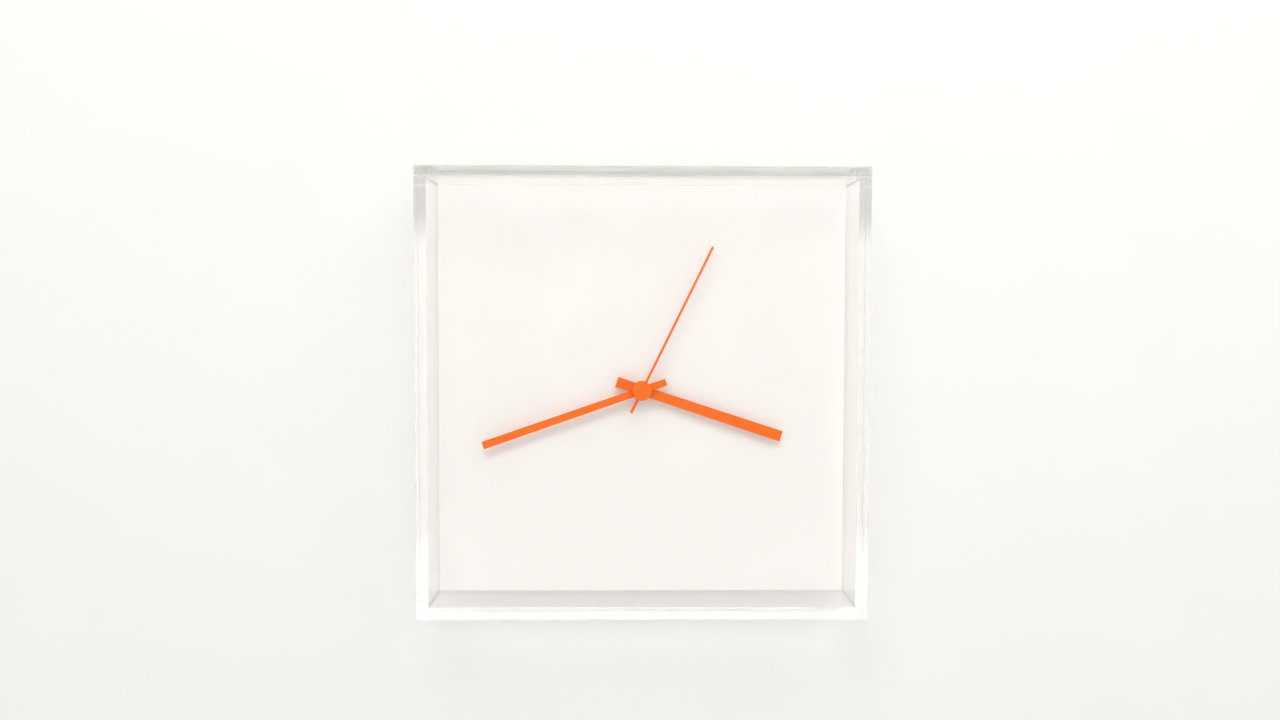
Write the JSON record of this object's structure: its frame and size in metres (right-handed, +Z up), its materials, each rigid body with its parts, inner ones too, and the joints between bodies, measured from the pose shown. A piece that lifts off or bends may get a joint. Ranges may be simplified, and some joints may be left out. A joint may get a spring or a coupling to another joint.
{
  "type": "mystery clock",
  "caption": "Square wall clock: an open-backed box of clear sheet with a plain dial set deep inside, orange baton hands, and a geared quartz movement on a keyhole hanger.",
  "frame": {"origin": "middle of the underside of the box", "axes": "+Z up, the clock faces -Y, +X to the right as seen from the front"},
  "size_m": [0.254, 0.064, 0.254],
  "materials": {
    "clear_acrylic": "gloss",
    "white_acrylic": "matte",
    "orange_aluminium": "matte",
    "brass": "satin",
    "plated_brass": "satin",
    "black_rubber": "matte",
    "zinc_steel": "satin",
    "black_plastic": "matte",
    "white_plastic": "satin",
    "core_steel": "satin",
    "copper": "gloss",
    "magnet": "matte",
    "polished_steel": "polished",
    "cell_jacket": "satin",
    "board": "satin",
    "black_resin": "gloss"
  },
  "bodies": {
    "clock": {"front_panel": "clear_acrylic", "top_panel": "clear_acrylic", "bottom_panel": "clear_acrylic", "left_panel": "clear_acrylic", "right_panel": "clear_acrylic", "dial_panel": "white_acrylic", "threaded_bush": "brass", "hex_nut": "brass", "brass_washer": "brass", "rubber_washer": "black_rubber", "hanger_bracket": "zinc_steel", "case_front": "black_plastic", "case_rear": "black_plastic", "train_bridge": "white_plastic", "stator": "core_steel", "coil_core": "core_steel", "coil_bobbin": "white_plastic", "coil_winding": "copper", "intermediate_stud": "polished_steel", "circuit_board": "board", "driver_chip": "black_resin", "quartz_crystal": "polished_steel", "contact_positive": "plated_brass", "contact_negative": "plated_brass"},
    "second": {"second_wheel": "white_plastic", "second_arbor": "polished_steel", "second_hand": "orange_aluminium", "hand_cap": "orange_aluminium"},
    "rotor": {"rotor_magnet": "magnet", "rotor_pinion": "white_plastic"},
    "intermediate": {"intermediate_wheel": "white_plastic"},
    "third": {"third_wheel": "white_plastic"},
    "centre": {"centre_wheel": "white_plastic"},
    "minute": {"cannon_pinion": "brass", "minute_hand": "orange_aluminium"},
    "motion": {"motion_wheel": "white_plastic"},
    "hour": {"hour_wheel": "white_plastic", "hour_hand": "orange_aluminium"},
    "setting": {"setting_shaft": "white_plastic", "setting_knob": "black_plastic"},
    "cell": {"battery_cell": "cell_jacket"}
  },
  "joints": [
    {"name": "second_turn", "type": "hinge", "parent": "clock", "child": "second", "pos_m": [0, 0, 0.127], "axis": [0, 1, 0], "continuous": true},
    {"name": "rotor_turn", "type": "hinge", "parent": "clock", "child": "rotor", "pos_m": [0.01423, 0, 0.1361], "axis": [0, 1, 0], "continuous": true},
    {"name": "intermediate_turn", "type": "hinge", "parent": "clock", "child": "intermediate", "pos_m": [0.00662, 0, 0.13255], "axis": [0, 1, 0], "continuous": true},
    {"name": "third_turn", "type": "hinge", "parent": "clock", "child": "third", "pos_m": [-0.00677, 0, 0.13507], "axis": [0, 1, 0], "continuous": true},
    {"name": "centre_turn", "type": "hinge", "parent": "clock", "child": "centre", "pos_m": [0, 0, 0.127], "axis": [0, 1, 0], "continuous": true},
    {"name": "minute_turn", "type": "hinge", "parent": "clock", "child": "minute", "pos_m": [0, 0, 0.127], "axis": [0, 1, 0], "continuous": true},
    {"name": "motion_turn", "type": "hinge", "parent": "clock", "child": "motion", "pos_m": [-0.00927, 0, 0.12948], "axis": [0, 1, 0], "continuous": true},
    {"name": "hour_turn", "type": "hinge", "parent": "clock", "child": "hour", "pos_m": [0, 0, 0.127], "axis": [0, 1, 0], "continuous": true},
    {"name": "setting_turn", "type": "hinge", "parent": "clock", "child": "setting", "pos_m": [-0.01906, 0, 0.12492], "axis": [0, 1, 0], "continuous": true},
    {"name": "cell_slide", "type": "slide", "parent": "clock", "child": "cell", "axis": [0, 1, 0], "range_m": [0, 0.02]}
  ],
  "couplings": [
    {"joint": "rotor_turn", "follows": "second_turn", "ratio": 30},
    {"joint": "intermediate_turn", "follows": "second_turn", "ratio": -5},
    {"joint": "third_turn", "follows": "second_turn", "ratio": -0.13333},
    {"joint": "centre_turn", "follows": "second_turn", "ratio": 0.016667},
    {"joint": "minute_turn", "follows": "second_turn", "ratio": 0.016667},
    {"joint": "motion_turn", "follows": "second_turn", "ratio": -0.0055556},
    {"joint": "hour_turn", "follows": "second_turn", "ratio": 0.0013889},
    {"joint": "setting_turn", "follows": "second_turn", "ratio": 0.011111}
  ]
}
